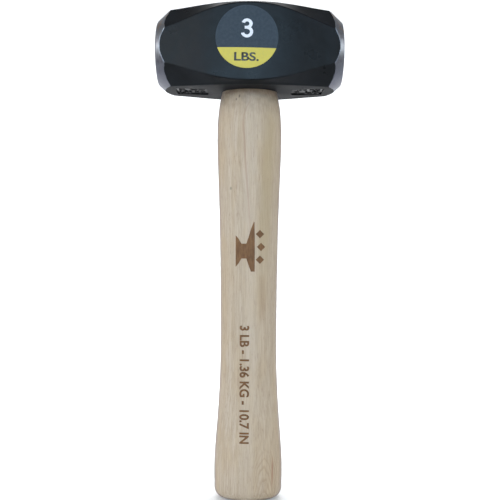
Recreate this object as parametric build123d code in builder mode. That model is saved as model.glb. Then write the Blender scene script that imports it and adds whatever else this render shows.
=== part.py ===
from build123d import *
from math import atan2, degrees
import os

# Short sledgehammer (drilling hammer) with a three pound head, standing on the butt of its handle.
# X runs along the head, -Y is the labelled front cheek, +Z runs up the handle. Millimetres.
# The origin is the middle of the flat on the butt.

# Head: an octagonal forging, swollen at the eye and tapered straight to both faces.
# A chamfer's height and depth are its two legs; the swelling is a little taller above the axis.
# Its sections stand half a crown apart, four each side of the middle, past both ground ends.
head_axis_height = 247.2
eye_top = 22.9
eye_bottom = 21.4
eye_half_depth = 25.6
eye_chamfer = (1.5, 3.6)
shoulder_half_height = 20.6
shoulder_half_depth = 19.7
shoulder_chamfer = (11.4, 7.6)
shoulder_x = 45.6
crown_half_length = 26.0
sections_each_side = 4
head_edge_radius = 0.9
shortest_full_length_edge = 78.0

# Ground ends: a 42 degree bevel and a slightly crowned striking face
bevel_rise = 0.9
face_rim_x = 50.9
face_rim_radius = 17.3
face_flat_x = 51.8
face_flat_radius = 8.0
left_rim_round = 3.0
right_rim_round = 0.8
barrel_radius = 40.0  # clear of the whole head

# Two shallow stamped panels under the head, one each side of the handle
stamp_x = 32.1
stamp_length = 17.4
stamp_width = 15.0
stamp_depth = 0.9
stamp_corner_radius = 1.0

# Eye: an oval hole, narrowest at mid height
eye_ends = (14.6, 10.4)
eye_waist = (13.2, 9.2)
tongue_proud = 2.0
tongue_edge_round = 0.8
tongue_root = 2.0

# Handle: an oval all the way up, with a rounded butt that it stands on.
# Each station is (height, half width, half depth); the last one is the shoulder under the head.
butt_height = 9.0
butt_size = (18.7, 13.4)
butt_round = 6.0
handle_stations = [
    (butt_height, *butt_size),
    (48.0, 17.0, 12.3),
    (93.0, 15.6, 11.3),
    (143.0, 16.2, 11.5),
    (178.0, 17.3, 12.2),
    (203.0, 17.9, 12.7),
]
shoulder_top = (15.2, 11.3)
oval_end_share = 0.8

# Wedges that spread the tongue in the eye
wood_wedge_top = 4.2
wood_wedge_tip = 1.0
wood_wedge_depth = 31.0
wood_wedge_cut_length = 60.0  # longer than the eye, which trims it
steel_wedge_x = 6.4
steel_wedge_top = 2.8
steel_wedge_tip = 0.8
steel_wedge_width = 14.0
steel_wedge_depth = 18.0
barb_count = 3
barb_depth = 0.3
barb_width = 0.9
barb_pitch = 4.0

# Round weight label on the front cheek
label_radius = 16.6
label_thickness = 0.25
label_offset = (-1.5, 3.0)
label_reach = 3.0

head_bottom = head_axis_height - eye_bottom
head_top = head_axis_height + eye_top
tongue_top = head_top + tongue_proud


def taper(x):
    """Share of the swelling that is gone at x: a parabola over the eye, then a straight taper to 1."""
    reach = shoulder_x - crown_half_length / 2
    if abs(x) < crown_half_length:
        return x * x / (2 * crown_half_length * reach)
    return (abs(x) - crown_half_length / 2) / reach


def between(middle, shoulder, x):
    return middle + (shoulder - middle) * taper(x)


def octagon(x):
    """The head's section at x: a rectangle with its four corners cut off."""
    depth = between(eye_half_depth, shoulder_half_depth, x)
    top = between(eye_top, shoulder_half_height, x)
    bottom = between(eye_bottom, shoulder_half_height, x)
    cut_height = between(eye_chamfer[0], shoulder_chamfer[0], x)
    cut_depth = between(eye_chamfer[1], shoulder_chamfer[1], x)
    with BuildLine() as outline:
        Polyline(
            (depth - cut_depth, -bottom),
            (depth, cut_height - bottom),
            (depth, top - cut_height),
            (depth - cut_depth, top),
            (cut_depth - depth, top),
            (-depth, top - cut_height),
            (-depth, cut_height - bottom),
            (cut_depth - depth, -bottom),
            close=True,
        )
    make_face(outline.edges())


def oval(half_width, half_depth):
    """A hammer handle's oval: two wide arcs for the cheeks and two tight arcs for the ends."""
    end_radius = oval_end_share * half_depth
    end_centre = half_width - end_radius
    wide_radius = (end_centre**2 + half_depth**2 - end_radius**2) / (2 * (half_depth - end_radius))
    wide_centre = wide_radius - half_depth
    join = degrees(atan2(wide_centre, end_centre))
    with BuildLine() as outline:
        CenterArc((end_centre, 0), end_radius, -join, 2 * join)
        CenterArc((0, -wide_centre), wide_radius, join, 180 - 2 * join)
        CenterArc((-end_centre, 0), end_radius, 180 - join, 2 * join)
        CenterArc((0, wide_centre), wide_radius, 180 + join, 180 - 2 * join)
    make_face(outline.edges())


def ground_end(side, rim_round):
    """Half outline of one ground end: flat centre, crown, rim and bevel, out to the barrel."""
    bevel_top_x = face_rim_x - (barrel_radius - face_rim_radius) / bevel_rise
    flat_middle = (side * face_flat_x, 0)
    flat_edge = (side * face_flat_x, face_flat_radius)
    rim = (side * face_rim_x, face_rim_radius)
    with BuildLine() as outline:
        Line(flat_middle, flat_edge)
        TangentArc(flat_edge, rim, tangent=(0, 1))
        Polyline(rim, (side * bevel_top_x, barrel_radius), (0, barrel_radius), (0, 0), flat_middle)
        fillet(outline.vertices().sort_by_distance(rim)[0], rim_round)
    make_face(outline.edges())


def tongue_solid():
    """The oval plug that fills the eye, from just below the head to its proud top."""
    sections = []
    for height, size in (
        (head_bottom - tongue_root, eye_ends),
        (head_axis_height, eye_waist),
        (head_top, eye_ends),
    ):
        with BuildSketch(Plane.XY.offset(height)) as section:
            oval(*size)
        sections.append(section.sketch)
    loft(sections, ruled=True)


def wedge_prism(plane, top_width, tip_width, depth, length, mode):
    """A tapering wedge whose wide end is level with the top of the tongue, on both sides of its plane."""
    with BuildSketch(plane) as section:
        with BuildLine():
            Polyline(
                (-top_width / 2, 0),
                (top_width / 2, 0),
                (tip_width / 2, -depth),
                (-tip_width / 2, -depth),
                close=True,
            )
        make_face()
    extrude(section.sketch, amount=length / 2, both=True, mode=mode)


def wood_wedge(mode):
    across = Plane(origin=(0, 0, tongue_top), x_dir=(0, 1, 0), z_dir=(1, 0, 0))
    wedge_prism(across, wood_wedge_top, wood_wedge_tip, wood_wedge_depth, wood_wedge_cut_length, mode)


def steel_wedge(side, mode):
    along = Plane(origin=(side * steel_wedge_x, 0, tongue_top), x_dir=(1, 0, 0), z_dir=(0, -1, 0))
    wedge_prism(along, steel_wedge_top, steel_wedge_tip, steel_wedge_depth, steel_wedge_width, mode)


def barb_plane(side, flank, step):
    """Across one flank of a steel wedge, at one of its barb grooves, counted down from the top."""
    drop = barb_pitch * (step + 1)
    half_thickness = steel_wedge_top / 2 - (steel_wedge_top - steel_wedge_tip) / 2 * drop / steel_wedge_depth
    origin = (side * steel_wedge_x + flank * half_thickness, 0, tongue_top - drop)
    return Plane(origin=origin, x_dir=(1, 0, 0), z_dir=(0, -1, 0))


def barbed_wedge(side):
    """A steel wedge with grooves across both flanks, so that it stays driven."""
    steel_wedge(side, Mode.ADD)
    for flank in (-1, 1):
        for step in range(barb_count):
            with BuildSketch(barb_plane(side, flank, step)) as groove:
                Rectangle(2 * barb_depth, barb_width)
            extrude(groove.sketch, amount=steel_wedge_width / 2, both=True, mode=Mode.SUBTRACT)


def handle_section(height, half_width, half_depth):
    with BuildSketch(Plane.XY.offset(height)) as section:
        oval(half_width, half_depth)
    return section.sketch


def panel_plane(side, above):
    """The plane of one stamped panel, facing down along the sloping underside, moved up by `above`."""
    inner = between(eye_bottom, shoulder_half_height, stamp_x - stamp_length / 2)
    outer = between(eye_bottom, shoulder_half_height, stamp_x + stamp_length / 2)
    slope = Vector(side * stamp_length, 0, inner - outer).normalized()
    facing = Vector(side * (inner - outer), 0, -stamp_length).normalized()
    middle = Vector(side * stamp_x, 0, head_axis_height - (inner + outer) / 2)
    return Plane(origin=middle - facing * above, x_dir=slope, z_dir=facing)


# Head
section_steps = range(-sections_each_side, sections_each_side + 1)
section_x = [step * crown_half_length / 2 for step in section_steps]
with BuildPart() as head:
    for x in section_x:
        with BuildSketch(Plane(origin=(x, 0, head_axis_height), x_dir=(0, 1, 0), z_dir=(1, 0, 0))):
            octagon(x)
    loft()
    long_edges = head.edges().filter_by(lambda edge: edge.length > shortest_full_length_edge)
    fillet(long_edges, head_edge_radius)

    with BuildSketch(Plane(origin=(0, 0, head_axis_height), x_dir=(1, 0, 0), z_dir=(0, -1, 0))):
        ground_end(-1, left_rim_round)
        ground_end(1, right_rim_round)
    revolve(axis=Axis((0, 0, head_axis_height), (1, 0, 0)), mode=Mode.INTERSECT)

    for side in (-1, 1):
        with BuildSketch(panel_plane(side, stamp_depth)):
            RectangleRounded(stamp_length, stamp_width, stamp_corner_radius)
        extrude(amount=2 * stamp_depth, mode=Mode.SUBTRACT)

with BuildPart() as plug:
    tongue_solid()
    tongue_end = plug.faces().sort_by(Axis.Z)[-1]
    extrude(tongue_end, amount=tongue_proud)
    fillet(plug.faces().sort_by(Axis.Z)[-1].edges(), tongue_edge_round)

with head:
    add(plug.part, mode=Mode.SUBTRACT)
head.part.label = "head"

# Wedges
with BuildPart() as wooden_wedge:
    add(plug.part)
    wood_wedge(Mode.INTERSECT)
    for side in (-1, 1):
        steel_wedge(side, Mode.SUBTRACT)
wooden_wedge.part.label = "wooden_wedge"

# Handle
with BuildPart() as handle:
    with BuildSketch():
        oval(*butt_size)
    extrude(amount=butt_height)
    fillet(handle.faces().sort_by(Axis.Z)[0].edges(), butt_round)
    body = [handle_section(*station) for station in handle_stations]
    loft(body + [handle_section(head_bottom, *shoulder_top)])
    add(plug.part)
    wood_wedge(Mode.SUBTRACT)
    for side in (-1, 1):
        steel_wedge(side, Mode.SUBTRACT)
handle.part.label = "handle"

# Steel wedges
with BuildPart() as steel_wedge_left:
    barbed_wedge(-1)
steel_wedge_left.part.label = "steel_wedge_left"

with BuildPart() as steel_wedge_right:
    barbed_wedge(1)
steel_wedge_right.part.label = "steel_wedge_right"

# Weight label, bent over the swelling of the cheek
with BuildPart() as weight_label:
    label_back = Plane(
        origin=(label_offset[0], label_reach - eye_half_depth, head_axis_height + label_offset[1]),
        x_dir=(1, 0, 0),
        z_dir=(0, -1, 0),
    )
    with BuildSketch(label_back):
        Circle(label_radius)
    extrude(amount=label_reach + label_thickness)
    taper_reach = shoulder_x - crown_half_length / 2
    crown_radius = crown_half_length * taper_reach / (eye_half_depth - shoulder_half_depth)
    with BuildSketch(Plane.XY.offset(head_axis_height)):
        with Locations((0, crown_radius - eye_half_depth - label_thickness)):
            Circle(crown_radius)
    extrude(amount=2 * label_radius, both=True, mode=Mode.INTERSECT)
    add(head.part, mode=Mode.SUBTRACT)
weight_label.part.label = "weight_label"

os.makedirs("parts", exist_ok=True)
export_step(head.part, "parts/head.step")
export_step(handle.part, "parts/handle.step")
export_step(wooden_wedge.part, "parts/wooden_wedge.step")
export_step(steel_wedge_left.part, "parts/steel_wedge_left.step")
export_step(steel_wedge_right.part, "parts/steel_wedge_right.step")
export_step(weight_label.part, "parts/weight_label.step")

for built in (head, handle, wooden_wedge, steel_wedge_left, steel_wedge_right, weight_label):
    solids = len(built.part.solids())
    print(built.part.label, round(built.part.volume, 1), "mm3", solids, "solid", built.part.is_valid)
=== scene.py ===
# %% [markdown]
# # A short sledgehammer
# This lesson dresses a hammer whose solids were already designed in a CAD program. The first step
# loads that design as a fixed frame: every node stands where the real piece stands, in metres, with
# the butt of the handle on the floor at the origin, the head along X and the labelled cheek facing -Y.

import bpy
from math import atan, cos, pi, radians, sin
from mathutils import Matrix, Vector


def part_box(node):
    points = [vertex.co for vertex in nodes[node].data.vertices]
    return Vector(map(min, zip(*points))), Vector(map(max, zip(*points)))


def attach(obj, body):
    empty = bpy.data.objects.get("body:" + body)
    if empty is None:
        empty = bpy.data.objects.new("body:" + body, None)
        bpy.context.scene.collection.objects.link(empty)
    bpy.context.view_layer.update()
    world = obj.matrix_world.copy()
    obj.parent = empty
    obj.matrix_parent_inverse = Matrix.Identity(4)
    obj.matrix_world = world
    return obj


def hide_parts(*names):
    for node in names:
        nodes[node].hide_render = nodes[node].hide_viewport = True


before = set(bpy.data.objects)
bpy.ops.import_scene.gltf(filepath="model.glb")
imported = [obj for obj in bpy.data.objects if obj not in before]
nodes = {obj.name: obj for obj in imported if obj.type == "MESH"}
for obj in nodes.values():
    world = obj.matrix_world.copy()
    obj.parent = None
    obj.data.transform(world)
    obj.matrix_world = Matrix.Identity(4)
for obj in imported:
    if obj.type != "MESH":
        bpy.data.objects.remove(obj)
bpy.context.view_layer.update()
print("nodes:", ", ".join(sorted(nodes)))

# %% [markdown]
# Measurements are easiest to read in millimetres, so one name turns them into metres. The head's own
# box gives its axis, which the ground ends and the label are centred on.

# %% Measure the pieces
mm = 0.001
head_low, head_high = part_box("head")
label_low, label_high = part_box("weight_label")
label_x = (label_low[0] + label_high[0]) / 2
label_z = (label_low[2] + label_high[2]) / 2
label_radius = (label_high[0] - label_low[0]) / 2
head_axis_z = label_z - 3.0 * mm
head_length = round((head_high[0] - head_low[0]) / mm, 1)
print("head is", head_length, "mm long; label radius", round(label_radius / mm, 1), "mm")

# %% [markdown]
# ## The studio
# A product picture of a tool is taken with the camera level with the middle of the handle, so the
# underside of the head shows a little. The lens is a short telephoto at about 43 centimetres.

# %% Camera
camera_distance = 425 * mm
camera_height = 137.8 * mm
camera_side = 0.6 * mm
camera_roll = radians(0.25)
lens_length = 54.65

bpy.ops.object.camera_add(
    location=(camera_side, -camera_distance, camera_height), rotation=(pi / 2, -camera_roll, 0)
)
camera = bpy.context.object
camera.data.lens = lens_length
camera.data.sensor_width = 36
camera.data.clip_start = 0.01
bpy.context.scene.camera = camera
print("camera", [round(c, 3) for c in camera.location])


# %% [markdown]
# The floor and the wall behind are one sheet of pale paper that sweeps up without a corner, as a
# studio hangs it. It starts as a plane; the back edge is extruded up and the crease is bevelled
# into a wide curve.

# %% Paper sweep
def deselect_all():
    bpy.ops.object.select_all(action="DESELECT")
    bpy.context.view_layer.objects.active = None


sweep_half = 3.0
sweep_back = 1.4
wall_height = 3.0

deselect_all()
bpy.ops.mesh.primitive_plane_add(size=2 * sweep_half, location=(0, sweep_back - sweep_half, 0))
sweep = bpy.context.object
sweep.name = "paper_sweep"
bpy.ops.object.transform_apply(location=True, rotation=True, scale=True)
bpy.ops.object.mode_set(mode="EDIT")
bpy.ops.mesh.select_mode(type="EDGE")
bpy.ops.mesh.select_all(action="DESELECT")
bpy.ops.object.mode_set(mode="OBJECT")
for edge in sweep.data.edges:
    edge.select = all(sweep.data.vertices[v].co.y > sweep_back - mm for v in edge.vertices)
bpy.ops.object.mode_set(mode="EDIT")
bpy.ops.mesh.extrude_region_move(TRANSFORM_OT_translate={"value": (0, 0, wall_height)})
bpy.ops.mesh.select_all(action="DESELECT")
bpy.ops.object.mode_set(mode="OBJECT")
for edge in sweep.data.edges:
    ends = [sweep.data.vertices[v].co for v in edge.vertices]
    edge.select = all(e.y > sweep_back - mm and e.z < mm for e in ends)
bpy.ops.object.mode_set(mode="EDIT")
bpy.ops.mesh.bevel(offset=0.9, segments=24, affect="EDGES")
bpy.ops.object.mode_set(mode="OBJECT")
bpy.ops.object.shade_smooth()




# %% [markdown]
# Soft boxes are area lights. A big warm one stands at the camera's left and a weaker one at its right,
# and a cool card high in front gives the black lacquer its blue sheen. A wide bank behind the hammer
# and a wash above the floor turn the paper nearly white, and a small card past each end of the head
# lights the ground steel.

# %% Lights
def soft_box(name, place, aim, size, power, tint=(1, 1, 1), spread=180):
    deselect_all()
    bpy.ops.object.light_add(type="AREA", location=place)
    lamp = bpy.context.object
    lamp.name = name
    lamp.data.shape = "RECTANGLE"
    lamp.data.size, lamp.data.size_y = size
    lamp.data.energy = power
    lamp.data.color = tint
    lamp.data.spread = radians(spread)
    direction = lamp.location.copy()
    direction.x, direction.y, direction.z = aim[0] - place[0], aim[1] - place[1], aim[2] - place[2]
    lamp.rotation_euler = direction.to_track_quat("-Z", "Y").to_euler()
    return lamp


soft_box("key_box", (-1.1, -1.2, 0.5), (0, 0, 0.2), (0.7, 0.8), 3.2, (1.0, 0.93, 0.84), 100)
soft_box("fill_box", (1.2, -1.2, 0.4), (0, 0, 0.2), (0.6, 0.7), 1.7, (1.0, 0.93, 0.84), 100)
soft_box("front_card", (-0.05, -1.7, 0.62), (0, 0, 0.24), (1.7, 0.4), 3.6, (0.5, 0.76, 1.0), 80)
soft_box("paper_bank", (0, 1.0, 1.7), (0, 1.1, 0), (2.6, 0.5), 12.5, (1, 1, 1), 72)
soft_box("floor_wash", (0, 0.3, 0.56), (0, 0.3, 0), (1.5, 0.25), 3.2, (1, 1, 1), 88)
soft_box("left_card", (-1.0, 0.02, 0.5), (0, 0, 0.247), (0.5, 0.2), 2.0, (1.0, 1.0, 1.0))
soft_box("right_card", (1.0, 0.02, 0.5), (0, 0, 0.247), (0.5, 0.2), 2.0, (0.95, 1.0, 1.0))


world = bpy.data.worlds.new("studio_air")
bpy.context.scene.world = world
world.use_nodes = True
world.node_tree.nodes["Background"].inputs["Color"].default_value = (0.95, 0.97, 1, 1)
world.node_tree.nodes["Background"].inputs["Strength"].default_value = 0.32
bpy.context.scene.view_settings.view_transform = "Standard"

# %% [markdown]
# ## Node shorthand
# Every finish below is wired from the same few nodes, so each gets a short name. All of them work on
# the point's own place in the hammer, in millimetres, so that grain and scratches have a real size.

# %% Node helpers
def wire(tree, socket, value):
    if isinstance(value, bpy.types.NodeSocket):
        tree.links.new(value, socket)
    else:
        socket.default_value = value


def linear(red, green, blue):
    """A colour as a paint chart gives it, 0 to 255, turned into the linear values that shaders use."""
    chart = [c / 255 for c in (red, green, blue)]
    return [c / 12.92 if c < 0.04045 else ((c + 0.055) / 1.055) ** 2.4 for c in chart] + [1]


def calc(tree, operation, a, b=0.0, clamp=False):
    node = tree.nodes.new("ShaderNodeMath")
    node.operation = operation
    node.use_clamp = clamp
    wire(tree, node.inputs[0], a)
    wire(tree, node.inputs[1], b)
    return node.outputs[0]


def ramp(tree, value, low, high, to_low=0.0, to_high=1.0):
    """Turns low..high into to_low..to_high along a smooth step."""
    node = tree.nodes.new("ShaderNodeMapRange")
    node.interpolation_type = "SMOOTHSTEP"
    for name, number in (("From Min", low), ("From Max", high), ("To Min", to_low), ("To Max", to_high)):
        node.inputs[name].default_value = number
    wire(tree, node.inputs["Value"], value)
    return node.outputs["Result"]


def blend(tree, share, under, over):
    node = tree.nodes.new("ShaderNodeMix")
    node.data_type = "RGBA"
    wire(tree, node.inputs[0], share)
    wire(tree, node.inputs[6], under)
    wire(tree, node.inputs[7], over)
    return node.outputs[2]


def noise(tree, point, grain, detail=3.0, rough=0.5):
    """Noise with grains of that many millimetres along X, Y and Z."""
    mapping = tree.nodes.new("ShaderNodeMapping")
    mapping.inputs["Scale"].default_value = [1 / g for g in grain]
    tree.links.new(point, mapping.inputs["Vector"])
    node = tree.nodes.new("ShaderNodeTexNoise")
    node.inputs["Scale"].default_value = 1.0
    node.inputs["Detail"].default_value = detail
    node.inputs["Roughness"].default_value = rough
    tree.links.new(mapping.outputs["Vector"], node.inputs["Vector"])
    return node.outputs["Fac"]


def relief(tree, height, depth, under=None):
    """A bump of that many millimetres, on top of another bump if one is given."""
    node = tree.nodes.new("ShaderNodeBump")
    node.inputs["Strength"].default_value = 1.0
    node.inputs["Distance"].default_value = depth * mm
    tree.links.new(height, node.inputs["Height"])
    if under is not None:
        tree.links.new(under, node.inputs["Normal"])
    return node.outputs["Normal"]


def start_finish(name):
    """A new material: (material, tree, shader, the point in millimetres, its x, y and z)."""
    material = bpy.data.materials.new(name)
    material.use_nodes = True
    tree = material.node_tree
    place = tree.nodes.new("ShaderNodeTexCoord")
    scale = tree.nodes.new("ShaderNodeMapping")
    scale.inputs["Scale"].default_value = (1 / mm, 1 / mm, 1 / mm)
    tree.links.new(place.outputs["Object"], scale.inputs["Vector"])
    split = tree.nodes.new("ShaderNodeSeparateXYZ")
    tree.links.new(scale.outputs["Vector"], split.inputs["Vector"])
    shader = tree.nodes["Principled BSDF"]
    return material, tree, shader, scale.outputs["Vector"], split.outputs


def paint(node_name, material):
    nodes[node_name].material_slots[0].material = material
    print(node_name, "wears", material.name)


# %% [markdown]
# The paper is plain and pale, with no more than the faint unevenness of unprinted stock.

# %% Pale paper
def paper():
    material, tree, shader, point, xyz = start_finish("pale_paper")
    tooth = noise(tree, point, (1.2, 1.2, 1.2), 3.0)
    pale = blend(tree, ramp(tree, tooth, 0.3, 0.7), (0.9, 0.9, 0.91, 1), (0.92, 0.92, 0.93, 1))
    wire(tree, shader.inputs["Base Color"], pale)
    shader.inputs["Roughness"].default_value = 0.95
    shader.inputs["Specular IOR Level"].default_value = 0.1
    return material


sweep.data.materials.append(paper())


# %% [markdown]
# ## The head's finish
# The forging is dipped in black lacquer, then both ends are ground back to bright steel: a cone
# shaped bevel and a slightly crowned face. One mask tells the two apart: on the bevel, the distance
# along the head plus nine tenths of the way out from its axis is always the same number.

# %% Mask of the ground ends
rim_x = 50.9
rim_radius = 17.3
cone_share = 0.9
bevel_sum = rim_x + rim_radius / cone_share
bright_from_x = 48.9


def ground_mask(tree, point, xyz):
    x, y, z = xyz
    along = calc(tree, "ABSOLUTE", x)
    height = calc(tree, "SUBTRACT", z, head_axis_z / mm)
    squares = calc(tree, "ADD", calc(tree, "MULTIPLY", y, y), calc(tree, "MULTIPLY", height, height))
    out = calc(tree, "SQRT", squares)
    wobble = ramp(tree, noise(tree, point, (3, 3, 3)), 0.3, 0.7, -0.12, 0.12)
    total = calc(tree, "ADD", calc(tree, "ADD", along, calc(tree, "DIVIDE", out, cone_share)), wobble)
    cone = ramp(tree, total, bevel_sum - 0.3, bevel_sum - 0.15)
    end = ramp(tree, along, bright_from_x, bright_from_x + 0.1)
    return calc(tree, "MAXIMUM", cone, end), out, height


# %% [markdown]
# Lacquer over a hammered forging is nearly black, satin, and not quite flat: slow hollows from the
# dies and a fine orange peel. Ground steel shows rings of fine scratches round the head's axis, a
# cloudy grey film and a few warm patches where the grinding heat left a tint.

# %% Lacquered and ground steel
underside_z = head_low[2] / mm + 0.9


def head_finish():
    material, tree, shader, point, xyz = start_finish("lacquered_steel_finish")
    bare, out, height = ground_mask(tree, point, xyz)
    angle = calc(tree, "ARCTAN2", height, xyz[1])

    clouds = noise(tree, point, (14, 14, 14), 4.0)
    peel = noise(tree, point, (0.5, 0.5, 0.5), 2.0)
    hollows = noise(tree, point, (6, 6, 6), 2.0)
    scuffs = noise(tree, point, (5, 0.4, 0.5), 4.0, 0.65)
    lacquer = blend(tree, ramp(tree, clouds, 0.35, 0.65), linear(13, 16, 19), linear(20, 23, 27))
    lacquer = blend(tree, ramp(tree, scuffs, 0.6, 0.85, 0, 0.1), lacquer, linear(60, 64, 70))

    ring_point = tree.nodes.new("ShaderNodeCombineXYZ")
    wire(tree, ring_point.inputs[0], calc(tree, "MULTIPLY", angle, 2.2))
    wire(tree, ring_point.inputs[1], calc(tree, "MULTIPLY", out, 9.0))
    rings = noise(tree, ring_point.outputs[0], (1, 1, 1), 4.0, 0.7)
    film = noise(tree, point, (5, 5, 5), 5.0, 0.6)
    steel = blend(tree, ramp(tree, rings, 0.3, 0.7), linear(104, 106, 114), linear(150, 154, 160))
    steel = blend(tree, ramp(tree, film, 0.5, 0.72, 0, 0.55), steel, linear(92, 84, 96))
    tint = ramp(tree, noise(tree, point, (4, 4, 5), 3.0), 0.5, 0.66, 0, 0.6)
    warm = calc(tree, "MULTIPLY", tint, ramp(tree, height, 4, 11))
    steel = blend(tree, warm, steel, linear(146, 118, 88))
    # Below the axis the ground steel is painted darker blue-grey: painted shade, standing in for the dark
    # reflection of the floor on the downward-facing part of the bevel.
    steel = blend(tree, ramp(tree, height, -14, -3, 0.75, 0), steel, linear(66, 68, 80))

    wire(tree, shader.inputs["Base Color"], blend(tree, bare, lacquer, steel))
    wire(tree, shader.inputs["Metallic"], bare)
    shader.inputs["Specular IOR Level"].default_value = 0.14
    dry_film = ramp(tree, xyz[2], underside_z, underside_z + 0.6, 0.4, 0)
    rough_lacquer = calc(tree, "ADD", ramp(tree, clouds, 0.3, 0.7, 0.27, 0.37), dry_film)
    rough_steel = ramp(tree, rings, 0.3, 0.7, 0.3, 0.48)
    rougher = calc(tree, "SUBTRACT", rough_steel, rough_lacquer)
    rough = calc(tree, "ADD", rough_lacquer, calc(tree, "MULTIPLY", bare, rougher))
    wire(tree, shader.inputs["Roughness"], rough)
    normal = relief(tree, hollows, 0.12)
    normal = relief(tree, peel, 0.01, normal)
    normal = relief(tree, calc(tree, "MULTIPLY", rings, bare), 0.02, normal)
    wire(tree, shader.inputs["Normal"], normal)
    return material


paint("head", head_finish())

# %% [markdown]
# ## Hickory
# The handle is split from a log, so the year rings run along it as nearly flat sheets. Where the
# handle swells at the butt, the surface cuts through them and draws long flames. Each ring starts
# with a row of open pores that reads as a darker line. The rings are a distance from a pith that lies
# well outside the handle, behind and to the left.

# %% Wood grain
pith = (-40.0, 50.0)
ring_width = 1.8


def ring_field(tree, point, xyz):
    x, y, z = xyz
    side = calc(tree, "SUBTRACT", x, pith[0])
    depth = calc(tree, "SUBTRACT", y, pith[1])
    squares = calc(tree, "ADD", calc(tree, "MULTIPLY", side, side), calc(tree, "MULTIPLY", depth, depth))
    far = calc(tree, "SQRT", squares)
    sway = ramp(tree, noise(tree, point, (26, 26, 160), 2.0), 0.2, 0.8, -1.4, 1.4)
    crowd = ramp(tree, noise(tree, point, (5, 5, 220), 2.0), 0.25, 0.75, -1.3, 1.3)
    lean = calc(tree, "MULTIPLY", z, 0.012)
    field = calc(tree, "ADD", calc(tree, "ADD", far, sway), calc(tree, "ADD", crowd, lean))
    return calc(tree, "FRACT", calc(tree, "DIVIDE", field, ring_width))


def stripe(tree, xyz, course, half_width, strength):
    """A streak on the front of the handle along a course of (height, x) points, fading out at both ends."""
    x, y, z = xyz
    low, high = course[0][0], course[-1][0]
    curve = tree.nodes.new("ShaderNodeFloatCurve")
    points = curve.mapping.curves[0].points
    spots = [((height - low) / (high - low), (side + 20) / 40) for height, side in course]
    points[0].location = spots[0]
    points[1].location = spots[-1]
    for spot in spots[1:-1]:
        points.new(*spot)
    curve.mapping.update()
    along = calc(tree, "DIVIDE", calc(tree, "SUBTRACT", z, low), high - low, clamp=True)
    wire(tree, curve.inputs["Value"], along)
    centre = calc(tree, "SUBTRACT", calc(tree, "MULTIPLY", curve.outputs[0], 40.0), 20.0)
    off = calc(tree, "ABSOLUTE", calc(tree, "SUBTRACT", x, centre))
    side_fade = ramp(tree, off, half_width * 0.2, half_width, 1, 0)
    fade = (high - low) * 0.3
    fade_in = ramp(tree, z, low - fade, low + fade)
    fade_out = ramp(tree, z, high - fade, high + fade, 1, 0)
    ends = calc(tree, "MULTIPLY", fade_in, fade_out)
    front = ramp(tree, y, -3, 3, strength, 0)
    return calc(tree, "MULTIPLY", calc(tree, "MULTIPLY", side_fade, ends), front)


def flame(tree, point, xyz):
    """Nested arches near the butt, on the front right, where the swelling surface cuts the rings."""
    x, y, z = xyz
    side = calc(tree, "SUBTRACT", x, 8.5)
    sag = calc(tree, "MULTIPLY", calc(tree, "MULTIPLY", side, side), 0.45)
    sway = ramp(tree, noise(tree, point, (5, 5, 14), 3.0), 0.2, 0.8, -3, 3)
    arch = calc(tree, "FRACT", calc(tree, "DIVIDE", calc(tree, "ADD", calc(tree, "ADD", z, sag), sway), 5.5))
    line = calc(tree, "MULTIPLY", ramp(tree, arch, 0.0, 0.15), ramp(tree, arch, 0.2, 0.6, 1, 0))
    zone = calc(tree, "MULTIPLY", ramp(tree, x, 1, 5), ramp(tree, z, 20, 34, 1, 0))
    front = ramp(tree, y, -4, 2, 0.3, 0)
    return calc(tree, "MULTIPLY", calc(tree, "MULTIPLY", line, zone), front)


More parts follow.
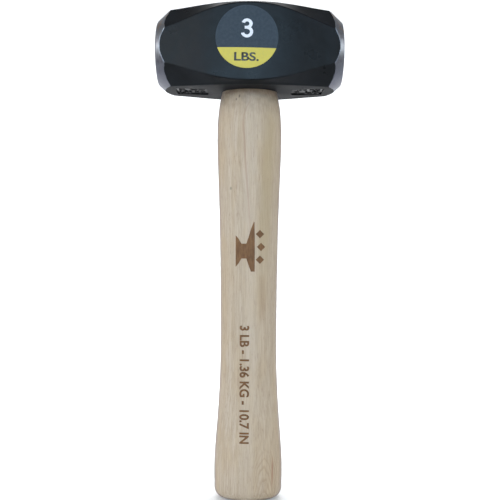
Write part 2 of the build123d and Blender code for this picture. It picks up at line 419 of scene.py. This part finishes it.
def hickory(name):
    material, tree, shader, point, xyz = start_finish(name)
    x, y, z = xyz
    ring = ring_field(tree, point, xyz)
    early = ramp(tree, ring, 0.0, 0.45, 1, 0)
    fibre = noise(tree, point, (0.35, 0.35, 16), 4.0, 0.6)
    bands = noise(tree, point, (2.6, 2.6, 150), 3.0, 0.55)
    clouds = noise(tree, point, (9, 9, 34), 3.0, 0.55)
    ticks = noise(tree, point, (0.7, 0.7, 5.5), 3.0, 0.6)
    pores = noise(tree, point, (0.16, 0.16, 2.6), 2.0)

    # The base tone runs from lighter on the left to darker and yellower on the right: partly the wood's own
    # tone, partly painted shade for the key light falling from the left.
    wood = blend(tree, ramp(tree, x, -17, 17), linear(186, 172, 154), linear(180, 163, 141))
    wood = blend(tree, ramp(tree, bands, 0.36, 0.64, 0, 0.6), wood, linear(172, 155, 132))
    wood = blend(tree, ramp(tree, clouds, 0.42, 0.66, 0, 0.45), wood, linear(178, 156, 124))
    wood = blend(tree, calc(tree, "MULTIPLY", early, 0.14), wood, linear(139, 115, 88))
    wood = blend(tree, ramp(tree, fibre, 0.38, 0.66, 0, 0.5), wood, linear(150, 132, 112))
    wood = blend(tree, ramp(tree, ticks, 0.56, 0.7, 0, 0.4), wood, linear(138, 114, 100))
    open_pores = calc(tree, "MULTIPLY", ramp(tree, pores, 0.62, 0.72), ramp(tree, early, 0.2, 0.8, 0.18, 0.6))
    wood = blend(tree, open_pores, wood, linear(104, 80, 58))
    wood = blend(tree, flame(tree, point, xyz), wood, linear(134, 108, 82))
    for tint, course, half_width, strength in streaks:
        wood = blend(tree, stripe(tree, xyz, course, half_width, strength), wood, linear(*tint))
    # Towards the outline the wood is painted grey-mauve: painted shade for the sides of the rounded handle
    # turning away from the lights.
    edge = tree.nodes.new("ShaderNodeLayerWeight")
    edge.inputs["Blend"].default_value = 0.5
    wood = blend(tree, ramp(tree, edge.outputs["Facing"], 0.45, 0.9, 0, 0.7), wood, linear(122, 112, 114))
    # Just under the head the wood is painted darker in mottled patches: a painted contact shadow where the
    # head shades the handle.
    shadow_mottle = ramp(tree, noise(tree, point, (4, 4, 3), 3.0), 0.3, 0.7, 0.35, 0.75)
    under_head_shadow = calc(tree, "MULTIPLY", ramp(tree, z, 210, 226), shadow_mottle)
    wood = blend(tree, under_head_shadow, wood, linear(110, 98, 86))

    wire(tree, shader.inputs["Base Color"], wood)
    wire(tree, shader.inputs["Roughness"], ramp(tree, fibre, 0.3, 0.7, 0.5, 0.66))
    normal = relief(tree, fibre, 0.04)
    normal = relief(tree, calc(tree, "MULTIPLY", pores, early), 0.05, normal)
    wire(tree, shader.inputs["Normal"], normal)
    return material


streaks = (
    (
        (150, 118, 100),
        ((150, 0.6), (166, -0.5), (185, -2.0), (199, -2.7), (206, -3.3), (212, -2.8), (219, 0.6)),
        0.7,
        0.6,
    ),
    ((158, 140, 106), ((128, 7.5), (160, 9.0), (214, 11.5)), 5.0, 0.5),
    ((200, 186, 170), ((14, 0.5), (90, 0.8), (210, 0.2)), 5.0, 0.25),
    ((138, 112, 84), ((100, 7.6), (122, 7.0)), 2.6, 0.34),
    ((140, 92, 66), ((10, 13.2), (23, 13.4)), 0.6, 0.7),
    ((70, 52, 40), ((221, -5.6), (222.6, -5.4)), 0.7, 0.8),
    ((84, 66, 52), ((219.5, -7.2), (220.7, -7.2)), 0.6, 0.7),
    ((110, 108, 92), ((170.8, -10.0), (172.2, -10.0)), 0.8, 0.7),
)
paint("handle", hickory("hickory_finish"))

# %% [markdown]
# ## Wedges
# The wooden wedge is a harder, redder scrap of the same wood; the steel ones are stamped from plain
# strip and keep a dull mill skin. Only their top ends show, level with the tongue.

# %% Wedge finishes
def wedge_wood():
    material, tree, shader, point, xyz = start_finish("wedge_wood_finish")
    fibre = noise(tree, point, (0.5, 0.3, 12), 4.0, 0.6)
    end_rings = noise(tree, point, (6, 0.7, 30), 3.0, 0.5)
    wood = blend(tree, ramp(tree, end_rings, 0.35, 0.65), linear(176, 146, 112), linear(150, 116, 84))
    wood = blend(tree, ramp(tree, fibre, 0.4, 0.7, 0, 0.5), wood, linear(112, 84, 60))
    wire(tree, shader.inputs["Base Color"], wood)
    wire(tree, shader.inputs["Roughness"], ramp(tree, fibre, 0.3, 0.7, 0.55, 0.75))
    wire(tree, shader.inputs["Normal"], relief(tree, fibre, 0.05))
    return material


def wedge_steel():
    material, tree, shader, point, xyz = start_finish("wedge_steel_finish")
    skin = noise(tree, point, (2, 2, 2), 5.0, 0.6)
    drag = noise(tree, point, (0.2, 6, 4), 3.0, 0.6)
    steel = blend(tree, ramp(tree, skin, 0.4, 0.7), linear(128, 130, 134), linear(94, 86, 80))
    wire(tree, shader.inputs["Base Color"], steel)
    shader.inputs["Metallic"].default_value = 1.0
    wire(tree, shader.inputs["Roughness"], ramp(tree, skin, 0.3, 0.7, 0.35, 0.6))
    wire(tree, shader.inputs["Normal"], relief(tree, drag, 0.02))
    return material


paint("wooden_wedge", wedge_wood())
steel_skin = wedge_steel()
paint("steel_wedge_left", steel_skin)
paint("steel_wedge_right", steel_skin)

# %% [markdown]
# ## The weight label
# A round vinyl sticker, slate grey with a yellow foot. It is cut flat as a disc and pressed on the
# swollen cheek, so it is modelled the same way: a filled circle is stood up, cut into strips that can
# bend, projected on the head and thickened. The printed marks and the burnt marks on the handle are
# laid on by the same few helpers.

# %% Helpers for laid-on marks
def lettering(words, name, boldness):
    deselect_all()
    bpy.ops.object.text_add()
    mark = bpy.context.object
    mark.name = name
    mark.data.body = words
    mark.data.offset = boldness
    bpy.ops.object.convert(target="MESH")
    mark.data.name = name
    return mark


def fit_flat(mark, width, height):
    """Centres a flat mark on the origin and stretches it to that width and height in millimetres."""
    low = [min(v.co[k] for v in mark.data.vertices) for k in (0, 1)]
    high = [max(v.co[k] for v in mark.data.vertices) for k in (0, 1)]
    mark.location = [-(low[k] + high[k]) / 2 for k in (0, 1)] + [0]
    bpy.ops.object.transform_apply(location=True, rotation=False, scale=False)
    mark.scale = (width * mm / (high[0] - low[0]), height * mm / (high[1] - low[1]), 1)
    bpy.ops.object.transform_apply(location=False, rotation=False, scale=True)


def stand(mark, turn, x, z):
    """Stands a flat mark up in front of the hammer, facing -Y, turned clockwise, at x and z in metres."""
    mark.rotation_euler = (pi / 2, turn, 0)
    mark.location = (x, -60 * mm, z)
    bpy.ops.object.transform_apply(location=True, rotation=True, scale=True)


def lay_on(mark, ground, lift, thickness, strip):
    """Cuts the standing mark into strips across X, presses it on the ground along Y, thickens it inwards."""
    xs = [v.co.x for v in mark.data.vertices]
    bpy.ops.object.mode_set(mode="EDIT")
    for step in range(1, int((max(xs) - min(xs)) / (strip * mm)) + 1):
        bpy.ops.mesh.select_all(action="SELECT")
        bpy.ops.mesh.bisect(plane_co=(min(xs) + step * strip * mm, 0, 0), plane_no=(1, 0, 0))
    bpy.ops.mesh.select_all(action="SELECT")
    bpy.ops.mesh.remove_doubles(threshold=0.001 * mm)
    bpy.ops.mesh.quads_convert_to_tris()
    bpy.ops.object.mode_set(mode="OBJECT")
    wrap = mark.modifiers.new("press", "SHRINKWRAP")
    wrap.target = ground
    wrap.wrap_method = "PROJECT"
    wrap.use_project_y = True
    wrap.use_negative_direction = False
    wrap.use_positive_direction = True
    wrap.wrap_mode = "ABOVE_SURFACE"
    wrap.offset = lift * mm
    bpy.ops.object.modifier_apply(modifier=wrap.name)
    solid = mark.modifiers.new("thicken", "SOLIDIFY")
    solid.thickness = thickness * mm
    solid.offset = -1
    bpy.ops.object.modifier_apply(modifier=solid.name)
    bpy.ops.object.mode_set(mode="EDIT")
    bpy.ops.mesh.select_all(action="SELECT")
    bpy.ops.mesh.normals_make_consistent(inside=False)
    bpy.ops.object.mode_set(mode="OBJECT")
    ys = [v.co.y / mm for v in mark.data.vertices]
    nearest, farthest = round(min(ys), 2), round(max(ys), 2)
    print(mark.name, "lies between y", nearest, "and", farthest, "mm,", len(mark.data.polygons), "faces")


def wear(mark, material):
    mark.data.materials.clear()
    mark.data.materials.append(material)
    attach(mark, "root")


# %% Label
label_turn = radians(1.0)
foot_drop = 5.8
label_lift = 0.19


def vinyl(name):
    material, tree, shader, point, xyz = start_finish(name)
    x, y, z = xyz
    tilt = calc(tree, "MULTIPLY", calc(tree, "SUBTRACT", x, label_x / mm), sin(label_turn))
    height = calc(tree, "ADD", calc(tree, "SUBTRACT", z, label_z / mm), tilt)
    mottle = noise(tree, point, (1.5, 1.5, 1.5), 4.0, 0.6)
    slate = blend(tree, ramp(tree, mottle, 0.3, 0.7), linear(53, 63, 73), linear(60, 70, 80))
    yellow = blend(tree, ramp(tree, mottle, 0.3, 0.7), linear(198, 186, 88), linear(190, 180, 94))
    foot = ramp(tree, height, -foot_drop - 0.05, -foot_drop + 0.05, 1, 0)
    wire(tree, shader.inputs["Base Color"], blend(tree, foot, slate, yellow))
    shader.inputs["Specular IOR Level"].default_value = 0.1
    wire(tree, shader.inputs["Roughness"], ramp(tree, mottle, 0.3, 0.7, 0.45, 0.55))
    wire(tree, shader.inputs["Normal"], relief(tree, mottle, 0.01))
    return material


deselect_all()
bpy.ops.mesh.primitive_circle_add(vertices=128, radius=label_radius, fill_type="NGON")
label = bpy.context.object
label.name = label.data.name = "weight_label_vinyl"
stand(label, 0, label_x, label_z)
lay_on(label, nodes["head"], label_lift, label_lift, 1.0)
bpy.ops.object.shade_smooth_by_angle(angle=radians(30))
wear(label, vinyl("label_vinyl_finish"))
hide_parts("weight_label")

# %% [markdown]
# The figure for the weight is printed near white; the unit below it is slate on the yellow foot.

# %% Label print
def ink(name, light, dark):
    material, tree, shader, point, xyz = start_finish(name)
    mottle = noise(tree, point, (0.8, 0.8, 0.8), 4.0, 0.6)
    colour = blend(tree, ramp(tree, mottle, 0.3, 0.7), linear(*light), linear(*dark))
    wire(tree, shader.inputs["Base Color"], colour)
    wire(tree, shader.inputs["Roughness"], ramp(tree, mottle, 0.3, 0.7, 0.4, 0.5))
    wire(tree, shader.inputs["Normal"], relief(tree, mottle, 0.005))
    return material


ink_lift = 0.02


def bowl(name, middle, inner, outer, start, sweep):
    """A flat curved stroke: a short radial edge, turned to its start and spun clockwise about the middle."""
    width = outer - inner
    pivot = (middle[0] * mm, middle[1] * mm, 0)
    centre = (pivot[0] + (inner + outer) / 2 * mm, pivot[1] + width / 2 * mm, 0)
    deselect_all()
    bpy.ops.mesh.primitive_plane_add(size=width * mm, location=centre)
    stroke = bpy.context.object
    stroke.name = stroke.data.name = name
    bpy.ops.object.transform_apply(location=True, rotation=True, scale=True)
    bpy.ops.object.mode_set(mode="EDIT")
    bpy.ops.mesh.select_mode(type="VERT")
    bpy.ops.mesh.select_all(action="DESELECT")
    bpy.ops.object.mode_set(mode="OBJECT")
    for vertex in stroke.data.vertices:
        vertex.select = vertex.co.y > centre[1]
    bpy.ops.object.mode_set(mode="EDIT")
    bpy.ops.mesh.delete(type="VERT")
    bpy.ops.mesh.select_all(action="SELECT")
    bpy.ops.transform.rotate(value=-start, orient_axis="Z", center_override=pivot)
    bpy.ops.mesh.spin(steps=28, angle=sweep, center=pivot, axis=(0, 0, 1))
    bpy.ops.object.mode_set(mode="OBJECT")
    return stroke


upper = bowl("label_figure", (-0.2, 2.35), 1.15, 2.75, radians(165), radians(255))
lower = bowl("label_figure_lower", (-0.2, -2.0), 1.5, 3.1, radians(-165), -radians(255))
deselect_all()
bpy.ops.mesh.primitive_plane_add(size=1, location=(-0.75 * mm, 0.35 * mm, 0))
bar = bpy.context.object
bar.scale = (1.3 * mm, 1.55 * mm, 1)
bpy.ops.object.transform_apply(location=True, rotation=False, scale=True)
lower.select_set(True)
upper.select_set(True)
bpy.context.view_layer.objects.active = upper
bpy.ops.object.join()
figure = bpy.context.object
fit_flat(figure, 6.4, 10.0)
stand(figure, label_turn, label_x + 0.1 * mm, label_z + 4.4 * mm)
lay_on(figure, label, ink_lift, 0.04, 1.0)
wear(figure, ink("white_ink", (222, 226, 236), (208, 213, 226)))

unit = lettering("LBS.", "label_unit", 0.026)
fit_flat(unit, 13.0, 4.6)
stand(unit, label_turn, label_x - 0.2 * mm, label_z - 10.6 * mm)
lay_on(unit, label, ink_lift, 0.04, 1.0)
wear(unit, ink("slate_ink", (48, 54, 58), (42, 48, 52)))


# %% [markdown]
# ## Burnt marks
# A hot iron presses a sign and a line of figures into the wood. Here the sign is a plain
# anvil with three sparks, and the line gives the head's weight and the tool's length. Both read down
# the handle with their tops to the right.

# %% Burn finish
def burn():
    material, tree, shader, point, xyz = start_finish("burnt_wood")
    fibre = noise(tree, point, (0.3, 0.3, 9), 4.0, 0.6)
    scorch = noise(tree, point, (1.6, 1.6, 4), 3.0, 0.6)
    colour = blend(tree, ramp(tree, scorch, 0.3, 0.7), linear(120, 84, 50), linear(98, 67, 38))
    colour = blend(tree, ramp(tree, fibre, 0.45, 0.7, 0, 0.5), colour, linear(74, 50, 30))
    wire(tree, shader.inputs["Base Color"], colour)
    wire(tree, shader.inputs["Roughness"], ramp(tree, fibre, 0.3, 0.7, 0.6, 0.8))
    wire(tree, shader.inputs["Normal"], relief(tree, fibre, 0.05))
    return material


burnt = burn()
burn_lift = 0.06
quarter_turn = pi / 2

# %% Figures line
figures = lettering("3 LB - 1.36 KG - 10.7 IN", "burnt_figures", 0.03)
fit_flat(figures, 64.0, 5.4)
stand(figures, quarter_turn, -2.2 * mm, 64.5 * mm)
lay_on(figures, nodes["handle"], burn_lift, 0.1, 0.7)
wear(figures, burnt)


# %% [markdown]
# The anvil starts as the plane of its waist. Its edges are extruded out into the foot, the body, the
# horn and the heel, each time scaled to the width that part has.

# %% Anvil sign
def pick_edge(mark, where):
    """Selects only the edges whose two ends both pass the test, in millimetres."""
    bpy.ops.mesh.select_all(action="DESELECT")
    bpy.ops.object.mode_set(mode="OBJECT")
    for edge in mark.data.edges:
        ends = [mark.data.vertices[v].co / mm for v in edge.vertices]
        edge.select = all(where(e) for e in ends)
    bpy.ops.object.mode_set(mode="EDIT")


def push_edge(mark, where, move, scale):
    pick_edge(mark, where)
    bpy.ops.mesh.extrude_edges_move(TRANSFORM_OT_translate={"value": [m * mm for m in move]})
    bpy.ops.transform.resize(value=scale)


deselect_all()
bpy.ops.mesh.primitive_plane_add(size=1)
anvil = bpy.context.object
anvil.name = anvil.data.name = "burnt_anvil"
anvil.scale = (7 * mm, 2.5 * mm, 1)
bpy.ops.object.transform_apply(location=False, rotation=False, scale=True)
bpy.ops.object.mode_set(mode="EDIT")
bpy.ops.mesh.select_mode(type="EDGE")
push_edge(anvil, lambda p: p.y < -1.2, (0, -1.6, 0), (1.7, 1, 1))
push_edge(anvil, lambda p: p.y < -2.7, (0, -1.4, 0), (1.25, 1, 1))
push_edge(anvil, lambda p: p.y > 1.2, (0, 1.2, 0), (1.9, 1, 1))
push_edge(anvil, lambda p: p.y > 2.3, (0, 3.2, 0), (1, 1, 1))
push_edge(anvil, lambda p: p.x < -6.4 and p.y > 2.3, (-3.6, 0.5, 0), (1, 0.62, 1))
push_edge(anvil, lambda p: p.x < -9.5, (-3.4, 0.7, 0), (1, 0.2, 1))
push_edge(anvil, lambda p: p.x > 6.4 and p.y > 2.3, (3.0, 0.6, 0), (1, 0.62, 1))
bpy.ops.mesh.select_all(action="SELECT")
bpy.ops.mesh.remove_doubles(threshold=0.001 * mm)
bpy.ops.object.mode_set(mode="OBJECT")
fit_flat(anvil, 27.0, 10.4)
stand(anvil, quarter_turn, -2.0 * mm, 139.5 * mm)
lay_on(anvil, nodes["handle"], burn_lift, 0.1, 0.7)
wear(anvil, burnt)

# %% [markdown]
# The sparks are small squares standing on a corner, each a four-sided circle.

# %% Sparks
spark_places = ((-7.0, 0.0), (0.0, 0.6), (7.0, 0.0))
for number, (along, up) in enumerate(spark_places):
    deselect_all()
    bpy.ops.mesh.primitive_circle_add(vertices=4, radius=2.3 * mm, fill_type="NGON")
    spark = bpy.context.object
    spark.name = spark.data.name = f"burnt_spark_{number + 1}"
    stand(spark, quarter_turn, (6.0 + up) * mm, (139.5 - along) * mm)
    lay_on(spark, nodes["handle"], burn_lift, 0.1, 0.7)
    wear(spark, burnt)

# %% [markdown]
# ## Stamped panels
# The dies leave raised figures inside each shallow panel under the head. They are cast proud of the
# panel's floor and stop short of the underside, so nothing rubs them off.

# %% Raised figures
panel_x = 32.1
panel_floor = 227.17
figure_height = 0.55
panel_slope = atan(0.8 / 32.6)


def raised_rows(side, rows):
    for row, words in enumerate(rows):
        mark = lettering(words, f"stamp_{'left' if side < 0 else 'right'}_{row + 1}", 0.02)
        fit_flat(mark, 14.4, 5.0)
        deselect_all()
        mark.select_set(True)
        bpy.context.view_layer.objects.active = mark
        solid = mark.modifiers.new("raise", "SOLIDIFY")
        solid.thickness = (figure_height + 0.1) * mm
        solid.offset = 1
        bpy.ops.object.modifier_apply(modifier=solid.name)
        mark.rotation_euler = (pi, side * panel_slope, 0)
        mark.location = (side * panel_x * mm, (3.6 - 7.2 * (1 - row)) * mm, (panel_floor + 0.1) * mm)
        bpy.ops.object.transform_apply(location=True, rotation=True, scale=True)
        bpy.ops.object.mode_set(mode="EDIT")
        bpy.ops.mesh.select_all(action="SELECT")
        bpy.ops.mesh.remove_doubles(threshold=0.001 * mm)
        bpy.ops.mesh.normals_make_consistent(inside=False)
        bpy.ops.object.mode_set(mode="OBJECT")
        wear(mark, nodes["head"].material_slots[0].material)


raised_rows(-1, ("3 LB", "1.36 KG"))
raised_rows(1, ("1.36 KG", "3 LB"))
